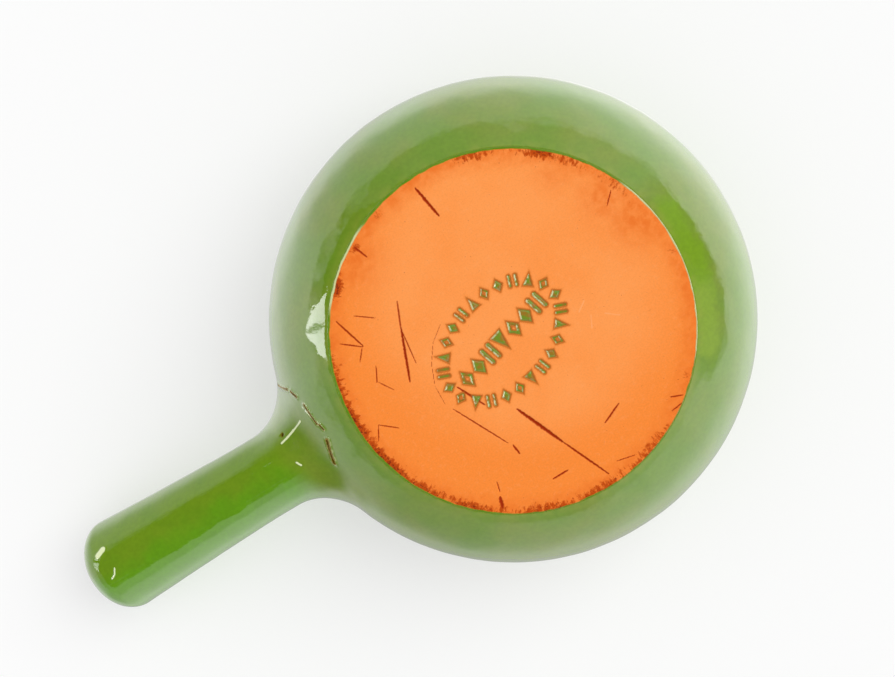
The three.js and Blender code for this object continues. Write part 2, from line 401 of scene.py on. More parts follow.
def glaze_skin(shell, profile, grow, ring_counts):
    """One skin of the outer glaze. Gives back its first and last row."""
    rows = [shell.add(row) for row in turned(profile, COLUMNS)]
    low = int(np.argmin(abs(profile[:, 1] - WINDOW_LOW)))
    high = int(np.argmin(abs(profile[:, 1] - WINDOW_HIGH)))
    window = np.arange(-WINDOW_COLUMNS, WINDOW_COLUMNS + 1) % COLUMNS
    rest = np.arange(WINDOW_COLUMNS, COLUMNS - WINDOW_COLUMNS + 1) % COLUMNS
    for i in range(len(rows) - 1):
        if low <= i < high:
            shell.strip(rows[i][rest], rows[i + 1][rest], closed=False)
        else:
            shell.strip(rows[i], rows[i + 1])
    loop = np.concatenate([
        rows[low][window[:-1]],
        [rows[i][window[-1]] for i in range(low, high)],
        rows[high][window[:0:-1]],
        [rows[i][window[0]] for i in range(high, low, -1)],
    ])
    rings, tip = handle_rings(shell.place()[loop], grow, *ring_counts)
    last = loop
    for ring in rings:
        numbers = shell.add(ring)
        shell.strip(last, numbers)
        last = numbers
    shell.fan(last, shell.add([tip])[0])
    return rows


def build_glaze_outside():
    """The glaze as a closed shell, with the count of the points of its outer skin."""
    shell = Shell()
    wall = outer_profile(COAT, OUTER_STEPS)
    bead = arc_points(BEAD_CENTRE, BEAD_HEIGHT, BEAD_RADIUS, -math.pi / 2, WALL_START, BEAD_STEPS)
    outer = glaze_skin(shell, np.concatenate([bead[:-1], wall]), COAT, OUTER_RINGS)
    outer_count = shell.count
    back = Shell()
    back.count = outer_count
    back.points = shell.points
    inner = glaze_skin(back, outer_profile(GAP, BACK_STEPS), GAP, BACK_RINGS)
    shell.faces += [block[:, ::-1] for block in back.faces]
    shell.strip(inner[0], outer[0])
    shell.strip(outer[-1], inner[-1])
    return shell.place(), shell.faces, outer_count


# What the photograph shows on the glaze, as pixels
CRACKS = [  # pixel, pixel, width in millimetres
    ((278, 384.5), (287.5, 389.5), 1.3),
    ((291, 391.8), (296.2, 396.8), 1.3),
    ((304, 405), (317, 424), 1.1),
    ((319.5, 425), (323.5, 429.5), 1.0),
    ((327, 440.5), (334.4, 463), 1.8),
]
HIGHLIGHT_STREAKS = [  # painted highlights, as streaks and spots on low raised ridges, likewise
    ((281.5, 443), (286.5, 438), 1.1),
    ((286.5, 438), (293, 430.5), 1.2),
    ((293, 430.5), (300, 421.5), 1.0),
    ((302, 407.5), (303, 409), 0.8),
    ((305.5, 411.5), (310.5, 416.8), 1.2),
    ((296.5, 462.7), (301, 465.3), 0.9),
    ((97.5, 556), (102.5, 549.5), 2.6),
    ((114.5, 568.5), (114.5, 575), 0.7),
    ((114.5, 575), (112, 579), 0.7),
]
GREENER = (0.172, 0.312, 0.008)
YELLOWER = (0.21, 0.335, 0.02)
BRIGHT_PATCHES = [  # brighter glaze, likewise, and its colour
    ((668, 208), (694, 258), 12.0, GREENER),
    ((694, 258), (703, 290), 12.0, GREENER),
    ((704, 296), (709, 345), 11.0, YELLOWER),
]
DULL = [  # the glaze shines less here: pixel, pixel, width, share left
    ((266, 466), (294, 444), 13.0, 0.12),
    ((294, 444), (328, 476), 20.0, 0.12),
    ((332, 474), (352, 494), 18.0, 0.40),
    ((298, 418), (316, 440), 14.0, 0.55),
]
# height of the low ridges under the painted highlight streaks
STREAK_RISE = 0.3
CRACK_RISE = 0.3  # the glaze swells beside a crack
CRACK_REACH = (2.0, 0.5)
VENT_PIXEL = (281.8, 434.8)
VENT_RADIUS = 0.8
VENT_FLAT = 0.45  # share of it that is as deep as the vent goes
VENT_DEPTH = 2.4
SETTLE = 0.17  # how far the glaze lies inside its greatest size, on average
SETTLE_HEIGHT = 4.0  # above which it does so
GLAZE_WAVES = ((0.11, 15, 1), (0.08, 7.5, 2), (0.006, 3.2, 3))
GRIP_START = (112, 125)  # distances from the pot's axis over which the waves grow lower
GRIP_CALM = 0.35  # by this share
BASE_START = (5.0, 0.5)  # heights over which the glaze nears the base
BASE_REACH = 12.0  # it does so as far outside the foot as this
BASE_CALM = 0.6
EDGE_START = 1.6  # height below which the edge lies still
EDGE_WAVES = ((0.16, 9, 4), (0.08, 3.5, 5))  # in and out, above the edge
EDGE_SWELL = 0.1
EDGE_REACH = (4.0, 1.2)
THIN_REACH = (1.6, 0.3)  # heights over which the glaze grows thin


def surface_finder(points, faces, count):
    """Finds the place on the outer skin under a pixel of the photograph."""
    skin = [f for block in faces for f in block.tolist() if max(f) < count]
    tree = BVHTree.FromPolygons(points[:count].tolist(), skin)
    return lambda pixel: np.array(tree.ray_cast(Vector(CAMERA_PLACE), Vector(pixel_ray(*pixel)))[0])


def make_glaze_outside():
    points, faces, count = build_glaze_outside()
    find = surface_finder(points, faces, count)
    marks = {
        name: [(find(start), find(end), *rest) for start, end, *rest in rows]
        for name, rows in (("cracks", CRACKS), ("highlight_streaks", HIGHLIGHT_STREAKS), ("bright", BRIGHT_PATCHES), ("dull", DULL))
    }
    outer = points[:count]
    normals = vertex_normals(points, faces)[:count]
    height = outer[:, 2]
    radius = level_radius(outer)
    near_base = smooth(*BASE_START, height) * (radius < FOOT_RADIUS + BASE_REACH)
    at_edge = smooth(EDGE_START, BEAD_LIFT, height) * near_base
    crack = np.min([segment_distance(outer, start, end)[0] for start, end, _ in marks["cracks"]], axis=0)
    lift = waves(outer, GLAZE_WAVES) * (1 - GRIP_CALM * smooth(*GRIP_START, radius))
    lift *= (1 - BASE_CALM * near_base) * (1 - at_edge)
    lift += CRACK_RISE * smooth(*CRACK_REACH, crack) - SETTLE * smooth(BEAD_LIFT, SETTLE_HEIGHT, height)
    vent_place = find(VENT_PIXEL)
    vent = np.linalg.norm(outer - vent_place, axis=1)
    lift -= VENT_DEPTH * smooth(VENT_RADIUS, VENT_FLAT * VENT_RADIUS, vent)
    marks["vent"] = (vent_place, vent_place - VENT_DEPTH * normals[np.argmin(vent)], 2 * VENT_RADIUS)
    sway = (EDGE_SWELL + waves(outer, EDGE_WAVES)) * near_base * smooth(*EDGE_REACH, height) * (1 - at_edge)
    outward = np.column_stack([outer[:, :2], 0 * radius]) / radius[:, None]
    moved = outer + normals * lift[:, None] + outward * sway[:, None]
    moved[:, 2] = np.maximum(moved[:, 2], BEAD_LIFT)
    points = np.concatenate([moved, points[count:]])
    thin = near_base * smooth(*THIN_REACH, height)
    layers = {"thin": np.append(thin, np.zeros(len(points) - count))}
    material = glaze_material("green_glaze", marks)
    piece_from("outer_glaze", points, faces, layers, material, "glaze_outside")


# Inner glaze
INSIDE_STEPS = (8, 26, 34, 40)  # over the crown, the shoulder, the foot and the floor
INSIDE_BACK_STEPS = (3, 5, 6, 5)
CROWN_GAP = 0.01  # radians between the two glazes on the crown of the lip
INSIDE_WAVES = ((0.06, 16, 11), (0.03, 7, 12))
THROWN_STEP = 6.5  # between the rings that throwing leaves on the floor
THROWN_RISE = 0.03
THROWN_START = (2, 12)  # distances from the axis over which they begin
THROWN_HEIGHT = 2.0  # above the floor's clay, where they end
LIP_CALM = 6.0  # the waves end over this height below the lip
LIP_THIN = (1.5, 0.2)  # the glaze is thin from so far below the lip's top to so far above


def inner_profile(grow, steps):
    """Half section of the inside at a distance from the clay, and the height of its floor."""
    shoulder = SHOULDER_ARC - COAT - WALL - grow
    foot = FOOT_ARC - COAT - WALL - grow
    floor = FLOOR + grow
    floor_angle = -math.asin(min(1, (BELLY_HEIGHT - floor) / foot))
    flat = np.linspace(FOOT_CENTRE + foot * math.cos(floor_angle), 0, steps[3] + 1)[1:-1]
    crown_start = math.pi / 2 + CROWN_GAP
    return np.concatenate([
        arc_points(LIP_CENTRE, LIP_HEIGHT, LIP_RADIUS + grow, crown_start, LIP_ANGLE + math.pi, steps[0]),
        arc_points(SHOULDER_CENTRE, BELLY_HEIGHT, shoulder, LIP_ANGLE, 0, steps[1], 1),
        arc_points(FOOT_CENTRE, BELLY_HEIGHT, foot, 0, floor_angle, steps[2], 1),
        np.stack([flat, np.full(len(flat), floor)], 1),
    ]), floor


def make_glaze_inside():
    shell = Shell()
    fine, top = inner_profile(COAT, INSIDE_STEPS)
    coarse, bottom = inner_profile(GAP, INSIDE_BACK_STEPS)
    rows = [shell.add(row) for row in turned(fine, COLUMNS)]
    shell.grid(rows)
    shell.fan(rows[-1], shell.add([[0, 0, top]])[0])
    count = shell.count
    backs = [shell.add(row) for row in turned(coarse, COLUMNS)]
    shell.grid(backs[::-1])
    shell.fan(backs[-1][::-1], shell.add([[0, 0, bottom]])[0])
    shell.strip(backs[0], rows[0])
    points = shell.place()
    normals = vertex_normals(points, shell.faces)[:count]
    skin = points[:count]
    radius = level_radius(skin)
    on_floor = (skin[:, 2] < FLOOR + THROWN_HEIGHT) * smooth(*THROWN_START, radius)
    lift = waves(skin, INSIDE_WAVES) + THROWN_RISE * on_floor * np.sin(radius / THROWN_STEP * 2 * np.pi)
    lift *= smooth(POT_HEIGHT, POT_HEIGHT - LIP_CALM, skin[:, 2])
    points[:count] = skin + normals * lift[:, None]
    layers = {"thin": smooth(POT_HEIGHT - LIP_THIN[0], POT_HEIGHT + LIP_THIN[1], points[:, 2])}
    material = glaze_material("inside_glaze")
    piece_from("inner_glaze", points, shell.faces, layers, material, "glaze_inside")


# Clay pot, whose base carries the cuts, chips and stamp
BASE_STEP = 0.28  # between points beside a cut, a mark or the edge
ROW_SHARE = math.sqrt(3) / 2  # of it, from a row of points to the next
CLOSE_REACH = 0.45  # beside a cut or a mark
MIDDLE_REACH = 2.2  # every second point stays as far as this, and every fourth further out
EDGE_BAND = 1.8  # beside the edge
EDGE_MARGIN = 0.6 * BASE_STEP
BASE_COLUMNS = 960
RIM_GAP = 0.03
CLAY_EDGE = (BEAD_CENTRE - 0.4, 0.9)  # radius and height, under the bead
CLAY_WALL_START = 1.6
CLAY_STEPS = (6, 4, 5)
CLAY_INSIDE_STEPS = (1, 4, 5, 2)
CUTS = [  # pixel, pixel, width and depth in millimetres
    ((415, 188), (439, 216), 1.3, 0.45),
    ((397, 301), (401, 330), 0.7, 0.25), ((401, 328), (410, 382), 1.1, 0.45),
    ((400.5, 328), (416, 363), 0.5, 0.2), ((517, 409), (563, 442), 1.5, 0.5),
    ((563, 442), (609, 474), 0.9, 0.4), ((457, 387), (485, 405), 1.0, 0.3),
    ((453, 409), (508, 443), 0.6, 0.2), ((513, 445), (520, 454), 0.9, 0.3),
    ((336, 321.5), (363, 346), 0.8, 0.3), ((340, 344), (363, 347), 0.6, 0.25),
    ((354, 316), (375, 318), 0.5, 0.2), ((376, 366), (377, 383), 0.5, 0.2),
    ((378, 382), (394, 390), 0.4, 0.15), ((378.5, 425), (378.5, 441), 0.5, 0.2),
    ((378.5, 425), (399, 428), 0.5, 0.2), ((497, 482), (500, 492), 0.5, 0.2),
    ((553, 479), (568, 470), 0.8, 0.25), ((605, 423), (619, 403), 0.8, 0.25),
    ((607, 206), (611, 190), 0.5, 0.15), ((617, 461), (635, 455), 0.4, 0.15),
    ((670, 397), (683, 395), 0.6, 0.2), ((672, 411), (682, 403), 0.6, 0.2),
    ((500, 497), (503, 508), 1.8, 0.3), ((354, 247), (367, 257), 0.8, 0.2),
    ((362, 348), (360, 362), 0.5, 0.15),
]
HAIRLINE = ((440.5, 324), (433, 343), (431.5, 364), (435, 386), (445, 404))
CUTS += [(start, end, 0.22, 0.05) for start, end in zip(HAIRLINE, HAIRLINE[1:])]
PALE_CUTS = [  # without depth
    ((579, 312), (584, 301), 0.5), ((591, 315), (592, 328), 0.4), ((605, 313), (620, 315), 0.4),
]
SCORCHED = [  # pixel, strength and reach in millimetres
    ((341, 385), 0.7, 14), ((356, 424), 0.95, 16),
    ((384, 461), 1.0, 17), ((424, 491), 0.8, 15),
    ((470, 506), 0.8, 15), ((503, 504), 1.0, 3.5),
    ((545, 506), 0.8, 15), ((600, 488), 0.75, 16),
    ((650, 450), 0.7, 14), ((472, 154), 0.7, 11),
    ((540, 154), 0.9, 10), ((566, 164), 0.7, 9),
    ((610, 190), 0.6, 9), ((341, 288), 1.1, 5),
    ((360, 252), 1.0, 4), ((382, 216), 0.6, 4),
    ((672, 252), 0.6, 2.5), ((683, 326), 0.6, 2.5),
    ((683, 376), 0.6, 3),
]
SMUDGES = [  # red smudges, likewise
    ((603, 197), 0.9, 9), ((555, 170), 0.6, 8),
    ((350, 262), 1.0, 11), ((640, 214), 1.0, 12),
]
CUT_END = 0.35  # share of a cut's width that is left at its ends
CUT_DEEP = (1.1, 0.1)  # shares of half its width over which it gets deep
CUT_WAVES = ((0.35, 0.8, 21),)
CHIPS = ((1, 1.7, 31), (0.6, 4.5, 32))  # raggedness of what runs along the edge
WORN_REACH = 2.6  # how far in the edge is worn
WORN_CHIPS = 0.9
WORN_DEPTH = 0.12
ROUND_REACH = 0.7
SAG = 0.03  # average depth of the waves of the base
SAG_SIZE = 11
SAG_REACH = 4.0
FILM_WIDTH = 0.65
FILM_LEAST = 0.25
FILM_LEAN = 0.35  # how much wider it is towards this pixel
FILM_PIXEL = (345, 243)
FILM_WAVES = ((0.28, 14, 41), (0.22, 4, 42), (0.08, 1.3, 43))
FILM_LEVEL = 0.1  # height of the film above the plane of the base
FILM_BLUR = 0.14
PALE_HIGHLIGHT_EDGES = [  # where the film's edge is thin pale glaze with a painted highlight, from pixel to pixel, and its width
    ((328, 319), (366, 221), 0.7),
    ((615, 180), (695, 366), 0.8),
]
PALE_FADE = 6.0  # degrees over which it fades at its ends
PALE_BLUR = 0.15
STAMP_PIXEL = (502, 341)
STAMP_END_PIXEL = (540, 299)  # towards the upper end of the stamp's long axis
STAMP_LONG = 27.7  # half axes of the ring of marks
STAMP_SHORT = 18.6
STAMP_MARKS = 24
STAMP_STEPS = 720  # of the ring, to measure its length
RING_MARK = (2.5, 1.9)  # half sizes of a mark
STAMP_ROW = 7
STAMP_ROW_STEP = 6.7
ROW_MARK = (3.9, 2.7)
DASH_WIDTH = 0.24  # half width of a dash, as a share of a mark's half length
OUTLINE_WIDTH = 0.17  # likewise, of the line round a hollow lozenge
STAMP_DEPTH = 0.5
STAMP_WALL = (0.2, -0.15)  # distances to a mark over which its wall goes down
STAMP_DROP = 0.48  # glaze stands up in the marks
DROP_START = 0.1
DROP_REACH = 0.75
POOL_WAVES = ((0.06, 1.6, 34),)
GLINT_PIXEL = (340, 350)  # sides of the drops that face it get a painted highlight
GLINT_STEP = 0.05
GLINT_FACING = (0.45, 0.8)
GLINT_BAND = ((-0.1, -0.25), (-0.8, -0.6))  # between these distances inside a mark
GLINT_SIZE = 1.5  # of the noise that breaks it, over these values
GLINT_BREAKS = (-0.5, 0.1)


def stamp_marks():
    """Plain wordless marks: an oval of small ones round a row of larger ones."""
    centre = on_base(*STAMP_PIXEL)
    along = unit(on_base(*STAMP_END_PIXEL) - centre)
    across = np.array([-along[1], along[0]])
    turns = np.linspace(0, 2 * np.pi, STAMP_STEPS + 1)
    steps = np.diff([STAMP_LONG * np.cos(turns), STAMP_SHORT * np.sin(turns)])
    length = np.append(0, np.cumsum(np.hypot(*steps)))
    marks = []
    for k in range(STAMP_MARKS):
        turn = np.interp((k + 0.5) / STAMP_MARKS * length[-1], length, turns)
        place = centre + STAMP_LONG * math.cos(turn) * along + STAMP_SHORT * math.sin(turn) * across
        out = unit(math.cos(turn) / STAMP_LONG * along + math.sin(turn) / STAMP_SHORT * across)
        marks.append((place, out, RING_MARK, (k * 3) % 4))
    for k in range(STAMP_ROW):
        place = centre + (k - (STAMP_ROW - 1) / 2) * STAMP_ROW_STEP * along
        marks.append((place, across, ROW_MARK, (k * 3 + 1) % 4))
    return marks


def mark_distance(points, mark):
    """Signed distance to a lozenge, a hollow lozenge, a wedge or a pair of dashes."""
    place, out, (long, wide), kind = mark
    offset = points - place
    u = offset @ out
    v = abs(offset @ np.array([-out[1], out[0]]))
    if kind == 3:
        dash = DASH_WIDTH * long
        return np.hypot(np.maximum(abs(u) - long + dash, 0), v - wide + dash) - dash
    if kind == 2:
        lean = wide / (2 * long)
        return np.maximum(-long - u, (v - lean * (long - u)) / math.hypot(1, lean))
    lozenge = (abs(u) * wide + v * long - long * wide) / math.hypot(long, wide)
    line = OUTLINE_WIDTH * long
    return lozenge if kind == 0 else abs(lozenge + line) - line


def stamp_distance(points):
    """Signed distance to the nearest mark of the stamp."""
    return np.min([mark_distance(points, mark) for mark in stamp_marks()], axis=0)


def along_segments(points, rows):
    """For each row, the distance to its segment, the share along it and the rest of the row."""
    for start, end, *rest in rows:
        yield *segment_distance(points, on_base(*start), on_base(*end)), *rest


def cut_features(points):
    """Distances to the cuts and to the pale ones, as shares of half their width, and the cuts' depth."""
    ragged = waves(points, CUT_WAVES)
    cuts, depths = [], []
    for distance, share, width, depth in along_segments(points, CUTS):
        half = width / 2 * (CUT_END + (1 - CUT_END) * np.sqrt(np.maximum(0, 4 * share * (1 - share))))
        cuts.append(distance / half + ragged)
        depths.append(depth * smooth(*CUT_DEEP, cuts[-1]))
    pale = [2 * distance / width + ragged for distance, _, width in along_segments(points, PALE_CUTS)]
    return np.min(cuts, axis=0), np.min(pale, axis=0), np.max(depths, axis=0)


def spot_level(points, spots):
    """How strongly spots of the fire show near each point, from 0 to about 1."""
    levels = []
    for pixel, strength, reach in spots:
        away = np.linalg.norm(points - on_base(*pixel), axis=1)
        levels.append(strength * np.exp(-(away / reach) ** 2))
    return np.max(levels, axis=0)


def film_inner(points):
    """Distance inwards from the edge of the film of glaze that runs over the rim of the base."""
    towards = unit(on_base(*FILM_PIXEL))
    width = FILM_WIDTH + FILM_LEAN * (points @ towards) / FOOT_RADIUS + waves(points, FILM_WAVES)
    return BEAD_CENTRE - level_radius(points) - np.maximum(width, FILM_LEAST)


def pale_highlight_line(points, inner):
    """Where the edge of the film is thin and pale, with a painted highlight along it."""
    turn = np.degrees(np.arctan2(points[:, 1], points[:, 0]))
    line = np.zeros(len(points))
    for start, end, width in PALE_HIGHLIGHT_EDGES:
        first, last = (math.degrees(math.atan2(*on_base(*pixel)[::-1])) for pixel in (start, end))
        after = (turn - first) % 360
        length = (last - first) % 360
        here = smooth(0, PALE_FADE, after) * smooth(length, length - PALE_FADE, after)
        line = np.maximum(line, here * smooth(-width - PALE_BLUR, PALE_BLUR - width, inner))
    return line * smooth(PALE_BLUR, -0.1, inner)


def base_points():
    """Points over the base: close beside its marks and edge, wide apart elsewhere."""
    across = int(FOOT_RADIUS / BASE_STEP) + 4
    up = int(across / ROW_SHARE) + 4
    i, j = np.meshgrid(np.arange(-across, across + 1), np.arange(-up, up + 1), indexing="ij")
    i, j = i.ravel(), j.ravel()
    points = np.stack([(i + 0.5 * (j % 2)) * BASE_STEP, j * BASE_STEP * ROW_SHARE], 1)
    edge = BEAD_CENTRE - level_radius(points)
    keep = edge > EDGE_MARGIN
    points, i, j, edge = points[keep], i[keep], j[keep], edge[keep]
    close = np.minimum(stamp_distance(points), edge - EDGE_BAND)
    for distance, _, width, *_ in along_segments(points, CUTS + PALE_CUTS):
        close = np.minimum(close, distance - width / 2)
    is_wide = (j % 4 == 0) & (i % 4 == 0)
    is_middle = (j % 2 == 0) & (i % 2 == 0)
    return points[is_wide | (is_middle & (close < MIDDLE_REACH)) | (close < CLOSE_REACH)]


def base_mesh():
    """Places over the base, those of its rim first, and the triangles between them."""
    around = np.arange(BASE_COLUMNS) * 2 * np.pi / BASE_COLUMNS
    rim = (BEAD_CENTRE - RIM_GAP) * np.stack([np.cos(around), np.sin(around)], 1)
    edges = [(k, (k + 1) % BASE_COLUMNS) for k in range(BASE_COLUMNS)]
    made = delaunay_2d_cdt([Vector(p) for p in (*rim, *base_points())], edges, [], 1, 1e-6)
    flat = np.array([tuple(v) for v in made[0]])
    corners = np.array(made[2])
    a, b, c = (flat[corners[:, k]] for k in range(3))
    turn = (b[:, 0] - a[:, 0]) * (c[:, 1] - a[:, 1]) - (b[:, 1] - a[:, 1]) * (c[:, 0] - a[:, 0])
    return flat, np.where((turn > 0)[:, None], corners[:, ::-1], corners)


def base_surface(flat):
    """Height of the base at its places, and how strongly each kind of mark shows there, painted highlights
    among them.
    """
    cut, pale, depth = cut_features(flat)
    mark = stamp_distance(flat)
    pooled = mark + waves(flat, POOL_WAVES)
    edge = film_inner(flat)
    film = smooth(FILM_BLUR, -FILM_BLUR, edge)
    chips = waves(flat, CHIPS)
    height = depth + STAMP_DEPTH * smooth(*STAMP_WALL, mark)
    height -= STAMP_DROP * np.clip((-DROP_START - pooled) / DROP_REACH, 0, 1)
    height += WORN_DEPTH * (smooth(WORN_REACH, 0, edge + WORN_CHIPS * chips) + smooth(ROUND_REACH, 0, edge))
    height += SAG * (1 + noise(flat, SAG_SIZE, 33)) * smooth(0, SAG_REACH, edge)
    height = np.maximum(height + film * (FILM_LEVEL - height), 0)
    height[np.argmin(level_radius(flat))] = 0
    # painted highlight on the sides of the stamp's drops that face GLINT_PIXEL
    shifted = stamp_distance(flat + GLINT_STEP * unit(on_base(*GLINT_PIXEL)))
    painted_glint = smooth(*GLINT_FACING, (shifted - mark) / GLINT_STEP)
    for band in GLINT_BAND:
        painted_glint *= smooth(*band, pooled)
    painted_glint *= smooth(*GLINT_BREAKS, noise(flat, GLINT_SIZE, 35))
    return height, {
        "cut": smooth(1.25, 0.55, cut),
        "pale": smooth(1.3, 0.5, pale),
        "stamp": smooth(0.10, -0.18, mark),
        "halo": smooth(1.5, 0.1, mark),
        "brim": smooth(0.42, 0.1, abs(mark - 0.22)),
        "painted_glint": painted_glint,
        "film": film,
        "line": pale_highlight_line(flat, edge),
        "rim": smooth(9, 0, edge + 1.5 * chips),
        "scorch": spot_level(flat, SCORCHED) * smooth(5.5, 0.4, edge + 0.5 * chips),
        "smudge": spot_level(flat, SMUDGES),
    }


def make_pot_body(material):
    flat, faces = base_mesh()
    height, marks = base_surface(flat)
    shell = Shell()
    base = shell.add(np.column_stack([flat, height]))
    shell.faces.append(faces)
    start = math.asin((CLAY_WALL_START - BELLY_HEIGHT) / (FOOT_ARC - COAT))
    outside = outer_profile(0, CLAY_STEPS, start, LIP_ANGLE + math.pi)
    profile = np.concatenate([[CLAY_EDGE], outside, inner_profile(0, CLAY_INSIDE_STEPS)[0][2:]])
    rows = [base[:BASE_COLUMNS]] + [shell.add(row) for row in turned(profile, BASE_COLUMNS)]
    shell.grid(rows)
    shell.fan(rows[-1], shell.add([[0, 0, FLOOR]])[0])
    points = shell.place()
    wall = np.zeros(len(points) - len(flat))
    layers = {name: np.append(values, wall + (name == "rim")) for name, values in marks.items()}
    piece_from("clay_pot", points, shell.faces, layers, material, "pot_body")


# Materials

class Nodes:
    """Short calls that add nodes to a material or a world. Sizes are in millimetres."""

    def __init__(self, owner):
        self.owner = owner
        owner.use_nodes = True
        self.tree = owner.node_tree
        self.tree.nodes.clear()
        self.places = self.add("TexCoord").outputs
        self.place = self.places["Object"]

    def add(self, kind, inputs=(), **settings):
        made = self.tree.nodes.new("ShaderNode" + kind)
        for name, value in settings.items():
            setattr(made, name, value)
        for key, value in dict(inputs).items():
            if isinstance(value, bpy.types.NodeSocket):
                self.tree.links.new(value, made.inputs[key])
            else:
                made.inputs[key].default_value = value
        return made

    def math(self, operation, a, b=0.0, c=0.0, clamp=False):
        return self.add("Math", {0: a, 1: b, 2: c}, operation=operation, use_clamp=clamp).outputs[0]

    def times(self, a, b, plus=0.0):
        """a times b, plus a third value."""
        return self.math("MULTIPLY_ADD", a, b, plus)

    def between(self, share, first, second):
        """A value that goes from the first to the second as the share goes from 0 to 1."""
        return self.times(share, self.math("SUBTRACT", second, first), first)

    def vector(self, operation, a, b=(0, 0, 0)):
        made = self.add("VectorMath", {0: a, 1: b}, operation=operation)
        return made.outputs["Value" if operation in ("DOT_PRODUCT", "LENGTH") else "Vector"]

    def ramp(self, value, low, high, start=0.0, end=1.0):
        inputs = {"Value": value, "From Min": low, "From Max": high, "To Min": start, "To Max": end}
        return self.add("MapRange", inputs, interpolation_type="SMOOTHSTEP").outputs["Result"]

    def over(self, length, bounds, start=0.0, end=1.0):
        """A ramp of a length between bounds."""
        return self.ramp(length, bounds[0] * MM, bounds[1] * MM, start, end)

    def mix(self, share, first, second, blend="MIX"):
        """Two colours mixed. Each is a socket or three levels."""
        first, second = ((*paint, 1) if isinstance(paint, tuple) else paint for paint in (first, second))
        made = self.add("Mix", {0: share, 6: first, 7: second}, data_type="RGBA", blend_type=blend)
        return made.outputs[2]

    def coat(self, colour, *coats):
        """A colour under some coats. Each is a share, a colour and perhaps how they blend."""
        for share, paint, *blend in coats:
            colour = self.mix(share, colour, paint, *blend)
        return colour

    def noise(self, size, detail=2.0, rough=0.5, place=None):
        """Noise whose bumps are about as wide as size."""
        inputs = {"Scale": 1 / (size * MM), "Detail": detail, "Roughness": rough}
        return self.add("TexNoise", {"Vector": place or self.place, **inputs}).outputs["Fac"]

    def patches(self, size, bounds, start=0.0, end=1.0, detail=2.0, rough=0.5):
        """Soft patches of noise, whose bounds tell how sharp they are and how much they cover."""
        return self.ramp(self.noise(size, detail, rough), *bounds, start, end)

    def layer(self, name, share=1.0):
        return self.times(self.add("Attribute", attribute_name=name).outputs["Fac"], share)

    def nearest(self, rows):
        """Distance to the nearest of some segments, as a share of half its width."""
        least = 1e6
        for start, end, width in rows:
            line = Vector((end - start) * MM)
            offset = self.vector("SUBTRACT", self.place, Vector(start) * MM)
            dot = self.vector("DOT_PRODUCT", offset, line)
            share = self.math("DIVIDE", dot, line.length_squared, clamp=True)
            along = self.add("VectorMath", {0: line, "Scale": share}, operation="SCALE").outputs[0]
            away = self.vector("LENGTH", self.vector("SUBTRACT", offset, along))
            least = self.math("MINIMUM", self.math("DIVIDE", away, width / 2 * MM), least)
        return least

    def bump(self, height, distance, strength=1.0, normal=None):
        inputs = {"Height": height, "Distance": distance * MM, "Strength": strength}
        if normal is not None:
            inputs["Normal"] = normal
        return self.add("Bump", inputs).outputs["Normal"]

    def surface(self, colour, roughness, gloss, normal):
        """Ends a material with its look."""
        inputs = {"Roughness": roughness, "Specular IOR Level": gloss, "Normal": normal}
        shader = self.add("BsdfPrincipled", {"Base Color": colour, **inputs})
        self.add("OutputMaterial", {"Surface": shader.outputs[0]})
        return self.owner


GRIP_GREEN = (0.128, 0.322, 0.009)
GRIP_OLIVE = (0.158, 0.278, 0.012)
# the belly's greens are milkier than the grip's: partly painted reflection of the pale room, partly the
# glaze's own colour
BELLY_GREEN = (0.15, 0.272, 0.018)
BELLY_OLIVE = (0.186, 0.268, 0.024)
GLAZE_DEEP = (0.108, 0.245, 0.008)
GLAZE_THIN = (0.3, 0.33, 0.045)
CRACK_DARK = (0.09, 0.06, 0.004)
CRACK_RUST = (0.25, 0.15, 0.018)
# painted highlight, on the glaze's streaks and on the sides of the stamp's drops
PAINTED_HIGHLIGHT = (0.8, 0.88, 0.52)
# thin pale glaze, also standing for a painted highlight along the film's edge and beside the cracks
PALE_GLAZE_AND_HIGHLIGHT = (0.64, 0.66, 0.33)
GLAZE_ROUGHNESS = (0.032, 0.052)
SHINE = 0.5  # specular level
GRIP_SHINE = (0.80, 0.27)  # on the two sides of the handle
GRIP_SIDES = (-10, 8)
GRIP_SHINE_START = (108, 122)  # distances from the pot's middle
GRIP_PAINT_START = (97, 112)
OLIVE_SIDE = (4, 14)  # where the handle turns olive, on one side
OLIVE_WANDER = 16 * MM


